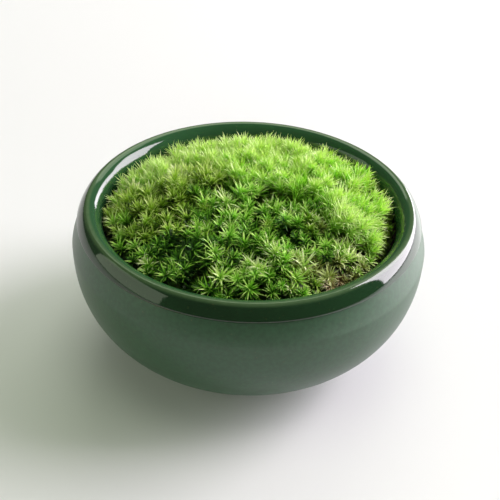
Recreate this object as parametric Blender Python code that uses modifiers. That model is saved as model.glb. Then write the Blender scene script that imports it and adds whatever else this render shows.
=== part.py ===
"""Moss terrarium: a low glazed bowl, the soil in it, and clumps of cushion moss.

A Blender 4.5 script. Lengths are metres and +Z is up. The origin is the middle of the foot, on the
surface that the bowl stands on. The bowl is turned about Z. The soil fills it to just under the rim.
The moss is a dome of clumps that grew against each other. Each clump is one closed body: a pad whose
top is raised, shoot by shoot, into rosettes of pointed leaves that cover it.
"""

import math
import random
from dataclasses import dataclass

import bmesh
import bpy
from mathutils import Vector
from mathutils.geometry import delaunay_2d_cdt

# Bowl, outside. The rim is a rounded band that stands out a little over a fine crease.
BELLY_RADIUS = 0.0550
BELLY_HEIGHT = 0.0389
BODY_DEPTH = 0.737 * BELLY_RADIUS
BODY_POWER = 2.39
SHOULDER_BOW = 1.26
CREASE_RADIUS = 0.957 * BELLY_RADIUS
CREASE_HEIGHT = BELLY_HEIGHT + 0.135 * BELLY_RADIUS
RIM_RADIUS = 0.909 * BELLY_RADIUS
RIM_HEIGHT = BELLY_HEIGHT + 0.217 * BELLY_RADIUS
RIM_OUTER_REACH = 0.014 * BELLY_RADIUS
BAND_OUT = 0.024 * BELLY_RADIUS
BAND_UP = 0.014 * BELLY_RADIUS
FOOT_RADIUS = 0.0270
FOOT_WIDTH = 0.0042
FOOT_CHAMFER = 0.0004
RECESS_DEPTH = 0.0012

# Bowl, inside
RIM_INNER_REACH = 0.050 * BELLY_RADIUS
THROAT_RADIUS = 0.825 * BELLY_RADIUS
THROAT_HEIGHT = BELLY_HEIGHT + 0.110 * BELLY_RADIUS
THROAT_REACH = 0.055 * BELLY_RADIUS
CAVITY_RADIUS = 0.0496
CAVITY_HEIGHT = 0.0330
CAVITY_POWER = 2.5
CAVITY_BEND = 0.45
FLOOR_HEIGHT = 0.0042

# How the bowl's curves are stepped: shares of a curve's height, and steps of a Bezier curve and a turn
CAVITY_LEVELS = (0.99, 0.93, 0.80, 0.60, 0.34, 0.0)
SHOULDER_LEVELS = (0.66, 0.33, 0.0)
BODY_LEVELS = (0.24, 0.44, 0.60, 0.73, 0.83, 0.92, 1.0)
CURVE_STEPS = 4
TURN_STEPS = 56
MERGE_DISTANCE = 0.00001

# Soil
FIT_GAP = 0.0003
SOIL_HEIGHT = BELLY_HEIGHT + 0.0041
SOIL_FLAT_RADIUS = 0.0420
CRUMB_HEIGHT = 0.0005
CRUMB_WAVES = (17, 29)
CRUMB_TWIST = 900

# Moss
MOSS_RADIUS = 0.0446
TIP_EDGE_HEIGHT = BELLY_HEIGHT + 0.0100
TIP_RISE = 0.0092
DOME_POWER = 2.3
HUMMOCK_WIDTH = 0.017
HUMMOCK_HEIGHT = 0.0007
HUMMOCK_BEND = 3.0
HUMMOCK_BEND_RATE = 60
CLUMP_EDGE_INSET = 0.0003
PAD_HEIGHT = 0.0016
RIM_LEAN = 0.3
SHOOT_COUNT = 520
RIM_SHOOT_COUNT = 64
RIM_SHOOT_SPACE = 0.6 * math.tau * MOSS_RADIUS / RIM_SHOOT_COUNT
SHOOT_LIFT = 0.0010
LEAF_RISE = 0.0044
LEAF_RISE_SPREAD = (0.62, 1.15)
LEAF_REACH_SPREAD = (0.72, 0.97)
LEAF_SIDE_SPREAD = (0.25, 0.75)
GOLDEN_ANGLE = math.pi * (3 - math.sqrt(5))
SEED = 11


@dataclass(frozen=True)
class Finish:
    """A material's colour, roughness and metallic value."""

    name: str
    color: tuple
    roughness: float
    metallic: float = 0.0


GLAZE = Finish("glaze", (0.022, 0.075, 0.036), 0.12)
SOIL = Finish("soil", (0.030, 0.018, 0.010), 0.95)
BRIGHT = Finish("moss_bright", (0.270, 0.520, 0.070), 0.65)
DEEP = Finish("moss_deep", (0.100, 0.230, 0.035), 0.65)
OLIVE = Finish("moss_olive", (0.150, 0.230, 0.045), 0.70)
DRY = Finish("moss_dry", (0.160, 0.185, 0.050), 0.80)


@dataclass(frozen=True)
class Clump:
    """A clump of moss: its middle on the plan, how far it stands up, and its finish."""

    x: float
    y: float
    lift: float
    finish: Finish

    @property
    def middle(self):
        return Vector((self.x, self.y))


CLUMPS = (
    Clump(-0.002, 0.034, 0.0004, BRIGHT),
    Clump(0.019, 0.030, 0.0006, BRIGHT),
    Clump(0.035, 0.014, 0.0014, BRIGHT),
    Clump(0.036, -0.007, 0.0018, BRIGHT),
    Clump(0.027, -0.026, -0.0012, DRY),
    Clump(0.009, -0.034, 0.0000, DEEP),
    Clump(-0.012, -0.031, 0.0003, DEEP),
    Clump(-0.030, -0.021, -0.0008, DEEP),
    Clump(-0.038, -0.001, 0.0002, OLIVE),
    Clump(-0.033, 0.018, 0.0000, BRIGHT),
    Clump(-0.019, 0.029, 0.0000, BRIGHT),
    Clump(-0.019, 0.006, 0.0004, OLIVE),
    Clump(-0.001, 0.015, 0.0008, BRIGHT),
    Clump(0.017, 0.009, 0.0010, BRIGHT),
    Clump(0.013, -0.012, -0.0026, DEEP),
    Clump(-0.010, -0.010, -0.0004, DEEP),
)


def remove_everything():
    """Empty the scene without closing the file."""
    for item in list(bpy.data.objects):
        bpy.data.objects.remove(item, do_unlink=True)


def new_collection(name):
    group = bpy.data.collections.new(name)
    bpy.context.scene.collection.children.link(group)
    return group


def new_object(name, mesh, group):
    item = bpy.data.objects.new(name, mesh)
    group.objects.link(item)
    return item


def material(finish):
    """Make the finish's material, or find it."""
    found = bpy.data.materials.get(finish.name)
    if found:
        return found
    made = bpy.data.materials.new(finish.name)
    made.use_nodes = True
    shader = made.node_tree.nodes["Principled BSDF"]
    shader.inputs["Base Color"].default_value = (*finish.color, 1.0)
    shader.inputs["Roughness"].default_value = finish.roughness
    shader.inputs["Metallic"].default_value = finish.metallic
    made.diffuse_color = (*finish.color, 1.0)
    return made


def superellipse(share, power):
    """Radius left, as a share of the full one, at a share of the way to where the curve closes."""
    return max(0.0, 1.0 - share ** power) ** (1.0 / power)


def bezier(start, first, second, end):
    """Points of a cubic curve, from after its start to its end."""
    points = []
    for step in range(1, CURVE_STEPS + 1):
        t = step / CURVE_STEPS
        s = 1.0 - t
        weights = (s ** 3, 3 * s * s * t, 3 * s * t * t, t ** 3)
        corners = (start, first, second, end)
        points.append(tuple(sum(w * c[axis] for w, c in zip(weights, corners)) for axis in (0, 1)))
    return points


def cavity_profile():
    """The bowl's inside, from the middle of its floor up to the throat under the rim."""
    points = [(0.0, FLOOR_HEIGHT)]
    for share in CAVITY_LEVELS:
        radius = CAVITY_RADIUS * superellipse(share, CAVITY_POWER)
        points.append((radius, CAVITY_HEIGHT - (CAVITY_HEIGHT - FLOOR_HEIGHT) * share))
    widest = points[-1]
    throat = (THROAT_RADIUS, THROAT_HEIGHT)
    reach = CAVITY_BEND * (THROAT_HEIGHT - CAVITY_HEIGHT)
    points += bezier(widest, (widest[0], widest[1] + reach), (throat[0], throat[1] - reach), throat)
    return points


def rim_profile():
    """The rim, from after the throat over its top and down its band to the crease."""
    throat = (THROAT_RADIUS, THROAT_HEIGHT)
    top = (RIM_RADIUS, RIM_HEIGHT)
    crease = (CREASE_RADIUS, CREASE_HEIGHT)
    above_throat = (THROAT_RADIUS, THROAT_HEIGHT + THROAT_REACH)
    inside = bezier(throat, above_throat, (top[0] - RIM_INNER_REACH, top[1]), top)
    band = (crease[0] + BAND_OUT, crease[1] + BAND_UP)
    outside = bezier(top, (top[0] + RIM_OUTER_REACH, top[1]), band, crease)
    return inside + outside


def body_profile():
    """The body, from under the crease down to the foot."""
    points = []
    for share in SHOULDER_LEVELS:
        radius = BELLY_RADIUS - (BELLY_RADIUS - CREASE_RADIUS) * share ** SHOULDER_BOW
        points.append((radius, BELLY_HEIGHT + (CREASE_HEIGHT - BELLY_HEIGHT) * share))
    foot_share = superellipse(FOOT_RADIUS / BELLY_RADIUS, BODY_POWER)
    for part in BODY_LEVELS:
        share = part * foot_share
        points.append((BELLY_RADIUS * superellipse(share, BODY_POWER), BELLY_HEIGHT - BODY_DEPTH * share))
    return points


def foot_profile():
    """The foot ring and the recess inside it, to the middle of the underside."""
    inner = FOOT_RADIUS - FOOT_WIDTH
    return [
        (FOOT_RADIUS, FOOT_CHAMFER),
        (FOOT_RADIUS - FOOT_CHAMFER, 0.0),
        (inner + FOOT_CHAMFER, 0.0),
        (inner, FOOT_CHAMFER),
        (inner - FOOT_CHAMFER, RECESS_DEPTH),
        (0.0, RECESS_DEPTH),
    ]


def turned(name, profile, group):
    """Turn a profile at +X, listed down its outer side, into a round solid about Z."""
    mesh = bpy.data.meshes.new(name)
    edges = [(i, i + 1) for i in range(len(profile) - 1)]
    mesh.from_pydata([(radius, 0.0, height) for radius, height in profile], edges, [])
    item = new_object(name, mesh, group)
    screw = item.modifiers.new("Turn", 'SCREW')
    screw.axis = 'Z'
    screw.angle = math.tau
    screw.steps = TURN_STEPS
    screw.render_steps = TURN_STEPS
    screw.use_merge_vertices = True
    screw.merge_threshold = MERGE_DISTANCE
    screw.use_smooth_shade = True
    return item


def plain_mesh(item):
    """Replace an object's mesh and modifiers by the mesh that they make."""
    shape = item.evaluated_get(bpy.context.evaluated_depsgraph_get())
    made = bpy.data.meshes.new_from_object(shape)
    item.modifiers.clear()
    item.data = made


def build_bowl(group):
    """The bowl: turned, with a foot ring, a full belly, a fine crease and a rounded rim."""
    profile = cavity_profile() + rim_profile() + body_profile() + foot_profile()
    bowl = turned("bowl", profile, group)
    bowl.data.materials.append(material(GLAZE))
    return bowl


def inner_radius(height):
    """The bowl's inner radius at a height, read up its profile from the floor to the rim's top."""
    points = cavity_profile() + rim_profile()
    for (low_radius, low), (high_radius, high) in zip(points, points[1:]):
        if low <= height <= high:
            return low_radius + (high_radius - low_radius) * (height - low) / (high - low)
    return RIM_RADIUS


def soil_profile():
    """The soil, from the middle of its flat top over its edge and down the bowl's inside."""
    edge = inner_radius(SOIL_HEIGHT) - FIT_GAP
    rings = (0.0, SOIL_FLAT_RADIUS, 0.5 * (SOIL_FLAT_RADIUS + edge), edge)
    points = [(radius, SOIL_HEIGHT) for radius in rings]
    wall = [(r, h) for r, h in cavity_profile() if FLOOR_HEIGHT < h < SOIL_HEIGHT - 2 * CRUMB_HEIGHT]
    for radius, height in reversed(wall):
        points.append((radius - FIT_GAP, height + FIT_GAP))
    points.append((0.0, FLOOR_HEIGHT + FIT_GAP))
    return points


def build_soil(group):
    """The soil: a turned filling whose open edge is broken into crumbs by a formula."""
    soil = turned("soil", soil_profile(), group)
    plain_mesh(soil)
    for vertex in soil.data.vertices:
        distance = math.hypot(vertex.co.x, vertex.co.y)
        on_top = vertex.co.z > SOIL_HEIGHT - MERGE_DISTANCE
        if on_top and distance > SOIL_FLAT_RADIUS + MERGE_DISTANCE:
            angle = math.atan2(vertex.co.y, vertex.co.x)
            wave = math.sin(CRUMB_WAVES[0] * angle)
            wave += math.sin(CRUMB_WAVES[1] * angle + CRUMB_TWIST * distance)
            vertex.co.z += CRUMB_HEIGHT * (0.5 * wave - 1.0)
    soil.data.shade_smooth()
    soil.data.materials.append(material(SOIL))
    return soil


def shoot_spots():
    """Where shoots stand: a golden-angle spiral over the dome, and an even ring at its edge."""
    spots = []
    for number in range(SHOOT_COUNT):
        distance = (MOSS_RADIUS - RIM_SHOOT_SPACE) * math.sqrt((number + 0.5) / SHOOT_COUNT)
        angle = number * GOLDEN_ANGLE
        spots.append(distance * Vector((math.cos(angle), math.sin(angle))))
    for number in range(RIM_SHOOT_COUNT):
        angle = math.tau * number / RIM_SHOOT_COUNT
        spots.append(MOSS_RADIUS * Vector((math.cos(angle), math.sin(angle))))
    return spots


def nearest_clump(spot):
    return min(range(len(CLUMPS)), key=lambda index: (CLUMPS[index].middle - spot).length)


def shoot_net():
    """A flat net of triangles over the moss, in a fan round each shoot, and each face's clump.

    The shoots are joined in triangles, a corner is put in the middle of each, and each line between
    two shoots is turned to join the two corners beside it.
    """
    flat = delaunay_2d_cdt(shoot_spots(), [], [], 0, MERGE_DISTANCE)
    bm = bmesh.new()
    is_shoot = bm.verts.layers.int.new("is_shoot")
    clump = bm.faces.layers.int.new("clump")
    shoots = [bm.verts.new((spot.x, spot.y, 0.0)) for spot in flat[0]]
    for corners in flat[2]:
        bm.faces.new([shoots[corner] for corner in corners])
    for shoot in shoots:
        shoot[is_shoot] = 1
    lines = [edge for edge in bm.edges if not edge.is_boundary]
    corners = bmesh.ops.poke(bm, faces=bm.faces)["verts"]
    for corner in corners:
        corner[is_shoot] = 0
    bmesh.ops.rotate_edges(bm, edges=lines)
    for face in bm.faces:
        shoot = next(vertex for vertex in face.verts if vertex[is_shoot])
        face[clump] = nearest_clump(shoot.co.xy)
    return bm


def one_clump(net, index):
    """The net's faces of one clump, drawn in at its edge to leave a gap to its neighbours."""
    bm = net.copy()
    layer = bm.faces.layers.int["clump"]
    others = [face for face in bm.faces if face[layer] != index]
    bmesh.ops.delete(bm, geom=others, context='FACES')
    moves = {}
    for vertex in bm.verts:
        if vertex.is_boundary:
            middles = [face.calc_center_median() for face in vertex.link_faces]
            inward = sum(middles, Vector()) / len(middles) - vertex.co
            moves[vertex] = CLUMP_EDGE_INSET * inward.normalized()
    for vertex, move in moves.items():
        vertex.co += move
    return bm


def ground_height(spot, lift):
    """Height that leaves rise from: the dome less a leaf's rise, with low hummocks."""
    share = min(1.0, spot.length / MOSS_RADIUS)
    dome = TIP_EDGE_HEIGHT + TIP_RISE * (1.0 - share ** DOME_POWER)
    bend_x = HUMMOCK_BEND * math.sin(HUMMOCK_BEND_RATE * spot.y)
    bend_y = HUMMOCK_BEND * math.sin(HUMMOCK_BEND_RATE * spot.x)
    wave = math.sin(math.tau * spot.x / HUMMOCK_WIDTH + bend_x)
    cross_wave = math.sin(math.tau * spot.y / HUMMOCK_WIDTH + bend_y)
    height = dome + lift - LEAF_RISE + HUMMOCK_HEIGHT * wave * cross_wave
    return max(height, SOIL_HEIGHT + FIT_GAP + PAD_HEIGHT)


def rim_leaf_tip(start, end, lift, rise):
    """The tip of a leaf at the moss's edge, which leans out but stays clear of the bowl's rim."""
    heading = (start + end).xy.normalized()
    out = heading * (MOSS_RADIUS + RIM_LEAN * rise)
    return Vector((out.x, out.y, ground_height(heading * MOSS_RADIUS, lift) + rise))


def raise_leaves(bm, lift, draw):
    """Raise the net to the dome and each of its faces to a leaf that leans out from its shoot."""
    is_shoot = bm.verts.layers.int["is_shoot"]
    shoot_lift = {}
    for vertex in bm.verts:
        vertex.co.z = ground_height(vertex.co.xy, lift)
        if vertex[is_shoot]:
            shoot_lift[vertex] = draw.uniform(-SHOOT_LIFT, SHOOT_LIFT)
            vertex.co.z += shoot_lift[vertex]
    leaves = []
    for face in bm.faces:
        ends = sorted(face.verts, key=lambda vertex: -vertex[is_shoot])
        rise = LEAF_RISE * draw.uniform(*LEAF_RISE_SPREAD)
        reach = draw.uniform(*LEAF_REACH_SPREAD)
        side = draw.uniform(*LEAF_SIDE_SPREAD)
        if ends[1][is_shoot]:
            tip = rim_leaf_tip(ends[0].co, ends[1].co, lift, rise)
        else:
            tip = ends[0].co.lerp(ends[1].co.lerp(ends[2].co, side), reach)
            tip.z = ground_height(tip.xy, lift) + rise + shoot_lift[ends[0]]
        leaves.append((face, tip))
    for face, tip in leaves:
        made = bmesh.ops.poke(bm, faces=[face])
        made["verts"][0].co = tip


def close_underneath(bm):
    """Wall the clump down to just above the soil and close it with a flat underside."""
    edge = [line for line in bm.edges if line.is_boundary]
    made = bmesh.ops.extrude_edge_only(bm, edges=edge)
    for part in made["geom"]:
        if isinstance(part, bmesh.types.BMVert):
            part.co.z = SOIL_HEIGHT + FIT_GAP
    foot = [line for line in bm.edges if line.is_boundary]
    base = bmesh.ops.holes_fill(bm, edges=foot)["faces"]
    bmesh.ops.triangulate(bm, faces=base)
    bmesh.ops.recalc_face_normals(bm, faces=bm.faces)


def build_moss(group):
    """The clumps, with one seeded draw for the sizes and turns of their leaves."""
    draw = random.Random(SEED)
    net = shoot_net()
    for index, clump in enumerate(CLUMPS):
        bm = one_clump(net, index)
        raise_leaves(bm, clump.lift, draw)
        close_underneath(bm)
        name = f"moss_clump_{index + 1:02d}"
        mesh = bpy.data.meshes.new(name)
        bm.to_mesh(mesh)
        bm.free()
        mesh.materials.append(material(clump.finish))
        new_object(name, mesh, group)
    net.free()


def main():
    remove_everything()
    group = new_collection("moss_terrarium")
    build_bowl(group)
    build_soil(group)
    build_moss(group)


main()
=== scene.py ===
"""Looks of a moss terrarium: a low green-glazed bowl, its soil, and a dome of cushion moss.

A Blender 4.5 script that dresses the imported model. The bowl, the soil and each clump of moss get a
finer piece that stands where its node stands. Leaves grow by rule on shoots, by Geometry Nodes.
Lengths are metres, +Z is up, and the origin is the middle of the foot.
"""

import logging
import math
import random
from dataclasses import dataclass
from enum import Enum
from typing import Any, Iterable, Optional, Sequence, Union

import bmesh
import bpy
import numpy as np
from bpy.types import Material, Mesh, NodeSocket, NodeTree, Object
from mathutils import Matrix, Vector, noise


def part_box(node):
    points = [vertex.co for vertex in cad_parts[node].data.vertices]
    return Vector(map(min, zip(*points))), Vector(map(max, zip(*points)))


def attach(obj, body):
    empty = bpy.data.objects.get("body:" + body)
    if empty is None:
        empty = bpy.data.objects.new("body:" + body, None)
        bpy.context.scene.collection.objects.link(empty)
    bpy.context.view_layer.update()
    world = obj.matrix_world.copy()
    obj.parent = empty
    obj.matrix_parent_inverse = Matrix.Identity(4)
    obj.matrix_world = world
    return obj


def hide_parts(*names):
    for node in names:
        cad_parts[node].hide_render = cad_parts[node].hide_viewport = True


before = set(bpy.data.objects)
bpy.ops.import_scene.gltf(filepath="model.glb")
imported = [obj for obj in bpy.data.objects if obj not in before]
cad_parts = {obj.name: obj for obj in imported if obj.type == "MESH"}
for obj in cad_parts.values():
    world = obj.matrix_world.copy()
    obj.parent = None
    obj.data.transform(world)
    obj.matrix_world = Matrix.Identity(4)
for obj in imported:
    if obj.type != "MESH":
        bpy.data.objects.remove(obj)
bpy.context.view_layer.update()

LOG = logging.getLogger("moss_terrarium")
BODY = "root"
UV_MAP = "OFBake"
GOLDEN_ANGLE = math.pi * (3 - math.sqrt(5))
# Points nearer than TOUCHING are one, and heights less than HAIR apart count as the same.
TOUCHING = 1e-6
HAIR = 1e-5
# The most of a side that one corner's curve may take, so that two corners never meet.
LONGEST_CUT = 0.49

Color = tuple[float, float, float]
Point = tuple[float, float]


class Slot(Enum):
    """The record's material slots."""

    GLAZE = "glaze"
    SOIL = "soil"
    BRIGHT = "moss_bright"
    DEEP = "moss_deep"
    OLIVE = "moss_olive"
    DRY = "moss_dry"


class Wire:
    """A node's output socket, on which Python's operators add Math or Vector Math nodes."""

    def __init__(self, graph: "Graph", socket: NodeSocket) -> None:
        """Wrap a socket of a graph."""
        self.graph = graph
        self.socket = socket

    def output(self, name: str) -> "Wire":
        """Another output of the same node."""
        return Wire(self.graph, self.graph.named(self.socket.node.outputs, name))

    @staticmethod
    def is_vector(value: Any) -> bool:
        """Tell vectors from numbers.

        Args:
            value: a wire, a number or a tuple.

        Returns:
            Whether it is a vector, or a wire that carries one.
        """
        if isinstance(value, Wire):
            return value.socket.type == "VECTOR"
        return isinstance(value, tuple)

    def join(self, operation: str, first: Any, second: Any) -> "Wire":
        """Add the node of an operation on two values.

        Args:
            operation: the Math or Vector Math node's operation.
            first: the first value, a wire or a number.
            second: the second value, a wire, a number or a vector.

        Returns:
            The result, a vector if either value is one.
        """
        if self.is_vector(first) or self.is_vector(second):
            return self.graph.vector(operation, first, second)
        return self.graph.math(operation, first, second)

    def __add__(self, other: Any) -> "Wire":
        """This plus the other."""
        return self.join("ADD", self, other)

    def __radd__(self, other: Any) -> "Wire":
        """The other plus this."""
        return self.join("ADD", other, self)

    def __sub__(self, other: Any) -> "Wire":
        """This less the other."""
        return self.join("SUBTRACT", self, other)

    def __rsub__(self, other: Any) -> "Wire":
        """The other less this."""
        return self.join("SUBTRACT", other, self)

    def __mul__(self, other: Any) -> "Wire":
        """This times the other."""
        return self.join("MULTIPLY", self, other)

    def __rmul__(self, other: Any) -> "Wire":
        """The other times this."""
        return self.join("MULTIPLY", other, self)

    def __truediv__(self, other: Any) -> "Wire":
        """This over the other."""
        return self.join("DIVIDE", self, other)

    def __pow__(self, other: Any) -> "Wire":
        """This to the power of the other."""
        return self.join("POWER", self, other)


class Graph:
    """A node tree that is written as expressions: one method makes every kind of node."""

    def __init__(self, tree: NodeTree) -> None:
        """Empty a tree and keep it."""
        self.tree = tree
        tree.nodes.clear()

    @staticmethod
    def named(sockets: Iterable, key: Union[str, int]) -> NodeSocket:
        """Find a socket of a node.

        Args:
            sockets: the node's inputs or outputs.
            key: the socket's index, or its name among those in use.

        Returns:
            The socket.
        """
        if isinstance(key, int):
            return sockets[key]
        return next(socket for socket in sockets if socket.name == key and socket.enabled)

    def node(self, kind: str, settings: Optional[dict] = None, inputs: Optional[dict] = None,
             output: Union[str, int] = 0) -> Optional[Wire]:
        """Add a node.

        Args:
            kind: the node's type.
            settings: the node's own properties, set before its sockets.
            inputs: a wire or a value for each socket, by name or index.
            output: the output to hand back, by name or index.

        Returns:
            The chosen output, or None for a node without outputs.
        """
        made = self.tree.nodes.new(kind)
        for name, value in (settings or {}).items():
            if name == "stops":
                self.set_stops(made.color_ramp, value)
            else:
                setattr(made, name, value)
        for key, value in (inputs or {}).items():
            socket = self.named(made.inputs, key)
            if isinstance(value, Wire):
                self.tree.links.new(value.socket, socket)
            elif socket.type == "VECTOR" and isinstance(value, (int, float)):
                socket.default_value = (value,) * 3
            elif socket.type == "RGBA":
                socket.default_value = (*value, 1.0)
            else:
                socket.default_value = value
        return Wire(self, self.named(made.outputs, output)) if made.outputs else None

    @staticmethod
    def set_stops(ramp: bpy.types.ColorRamp, tones: Sequence[Color]) -> None:
        """Give a ramp a row of colours, evenly spaced.

        Args:
            ramp: a new ramp, with two stops.
            tones: the colours, two or more.
        """
        while len(ramp.elements) < len(tones):
            ramp.elements.new(1.0)
        for index, (element, tone) in enumerate(zip(ramp.elements, tones)):
            element.position = index / (len(tones) - 1)
            element.color = (*tone, 1.0)

    def math(self, operation: str, *values: Any) -> Wire:
        """A Math node on up to three values."""
        return self.node("ShaderNodeMath", {"operation": operation}, dict(enumerate(values)))

    def vector(self, operation: str, *values: Any) -> Wire:
        """A Vector Math node on up to three values."""
        return self.node("ShaderNodeVectorMath", {"operation": operation}, dict(enumerate(values)))

    def combine(self, x: Any, y: Any, z: Any = 0.0) -> Wire:
        """The vector of three values."""
        return self.node("ShaderNodeCombineXYZ", inputs={0: x, 1: y, 2: z})

    def parts(self, vector: Wire) -> tuple[Wire, Wire, Wire]:
        """A vector's X, Y and Z."""
        split = self.node("ShaderNodeSeparateXYZ", inputs={"Vector": vector})
        return split, split.output("Y"), split.output("Z")

    def mix(self, factor: Any, first: Any, second: Any) -> Wire:
        """Mix two colours.

        Args:
            factor: how far to go from the first to the second, held between 0 and 1.
            first: the colour at 0.
            second: the colour at 1.

        Returns:
            The mixed colour.
        """
        settings = {"data_type": "RGBA", "clamp_factor": True}
        inputs = {"Factor": factor, "A": first, "B": second}
        return self.node("ShaderNodeMix", settings, inputs, "Result")

    def step(self, value: Any, limits: Point, origin: float = 0.0) -> Wire:
        """How far a value has gone between two limits from an origin, smoothly, from 0 to 1."""
        inputs = {"Value": value, "From Min": origin + limits[0], "From Max": origin + limits[1]}
        return self.node("ShaderNodeMapRange", {"interpolation_type": "SMOOTHSTEP"}, inputs)

    def near(self, value: Any, reach: Point, origin: float = 0.0) -> Wire:
        """1 up to the first distance from an origin, and 0 past the second, smoothly."""
        rise = self.step(value, (-reach[1], -reach[0]), origin)
        return rise * (1.0 - self.step(value, reach, origin))

    def ramp(self, value: Any, tones: Sequence[Color]) -> Wire:
        """A Color Ramp through a row of colours, from 0 to 1."""
        return self.node("ShaderNodeValToRGB", {"stops": tones}, {"Fac": value})

    def noise(self, place: Wire, scale: float, detail: float = 2.0, roughness: float = 0.5) -> Wire:
        """Noise from 0 to 1 at a place, with about scale patches to a metre."""
        inputs = {"Vector": place, "Scale": scale, "Detail": detail, "Roughness": roughness}
        return self.node("ShaderNodeTexNoise", inputs=inputs)


class Growth(Graph):
    """A Geometry Nodes tree."""

    def __init__(self, name: str, inputs: dict[str, str]) -> None:
        """Start a tree.

        Args:
            name: the tree's name.
            inputs: each input's name and kind of socket, the geometry first.
        """
        super().__init__(bpy.data.node_groups.new(name, "GeometryNodeTree"))
        sockets = self.tree.interface
        for label, kind in inputs.items():
            sockets.new_socket(label, in_out="INPUT", socket_type=f"NodeSocket{kind}")
        sockets.new_socket("Grown", in_out="OUTPUT", socket_type="NodeSocketGeometry")
        self.given = self.node("NodeGroupInput")

    def read(self, name: str, kind: str = "FLOAT") -> Wire:
        """A named value of the geometry."""
        return self.node("GeometryNodeInputNamedAttribute", {"data_type": kind}, {"Name": name})

    def store(self, geometry: Wire, name: str, value: Any, kind: str = "FLOAT",
              domain: str = "POINT") -> Wire:
        """A geometry that keeps a value under a name."""
        return self.node("GeometryNodeStoreNamedAttribute", {"data_type": kind, "domain": domain},
                         {"Geometry": geometry, "Name": name, "Value": value})

    def random(self, low: Any, high: Any, seed: Wire) -> Wire:
        """Draw a random value for each point.

        Args:
            low: the lower limit, a number or a vector.
            high: the upper limit, of the same kind.
            seed: the draw's seed.

        Returns:
            The value, of the limits' kind.
        """
        kind = "FLOAT_VECTOR" if Wire.is_vector(low) else "FLOAT"
        return self.node("FunctionNodeRandomValue", {"data_type": kind},
                         {"Min": low, "Max": high, "Seed": seed}, "Value")

    def together(self, *geometries: Wire) -> Wire:
        """Join geometries.

        Args:
            geometries: the geometries, in any order.

        Returns:
            The one geometry that holds them all.
        """
        joined = self.node("GeometryNodeJoinGeometry")
        for geometry in geometries:
            self.tree.links.new(geometry.socket, joined.socket.node.inputs[0])
        return joined

    def end(self, geometry: Wire) -> NodeTree:
        """Make the grown geometry solid, give it the finish that came in, and end the tree.

        Args:
            geometry: what the tree has grown.

        Returns:
            The tree.
        """
        solid = self.node("GeometryNodeRealizeInstances", inputs={"Geometry": geometry})
        dressed = self.node("GeometryNodeSetMaterial",
                            inputs={"Geometry": solid, "Material": self.given.output("Finish")})
        self.node("NodeGroupOutput", inputs={"Grown": dressed})
        return self.tree


class Looks:
    """A material under way: its graph, its object coordinates and its Principled shader."""

    def __init__(self, name: str) -> None:
        """Start an empty material."""
        self.material = bpy.data.materials.new(name)
        self.material.use_nodes = True
        self.graph = Graph(self.material.node_tree)

    def place(self) -> Wire:
        """Object coordinates, which are the frame's own in metres."""
        return self.graph.node("ShaderNodeTexCoord", output="Object")

    def finish(self, sockets: dict[str, Any], bump: Optional[tuple[Wire, float, float]] = None,
               through: Optional[tuple[Color, float]] = None) -> Material:
        """Add the shader and the output.

        Args:
            sockets: a wire or a value for each of the Principled shader's sockets.
            bump: a height, the strength of its bump and the height of one unit in metres.
            through: the colour of light that a leaf lets through, and its share.

        Returns:
            The finished material.
        """
        graph = self.graph
        if bump:
            height, strength, distance = bump
            inputs = {"Height": height, "Strength": strength, "Distance": distance}
            sockets = {**sockets, "Normal": graph.node("ShaderNodeBump", inputs=inputs)}
        shader = graph.node("ShaderNodeBsdfPrincipled", inputs=sockets)
        if through:
            light = graph.node("ShaderNodeBsdfTranslucent", inputs={"Color": through[0]})
            shader = graph.node("ShaderNodeMixShader", inputs={0: through[1], 1: shader, 2: light})
        graph.node("ShaderNodeOutputMaterial", inputs={"Surface": shader})
        return self.material


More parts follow.
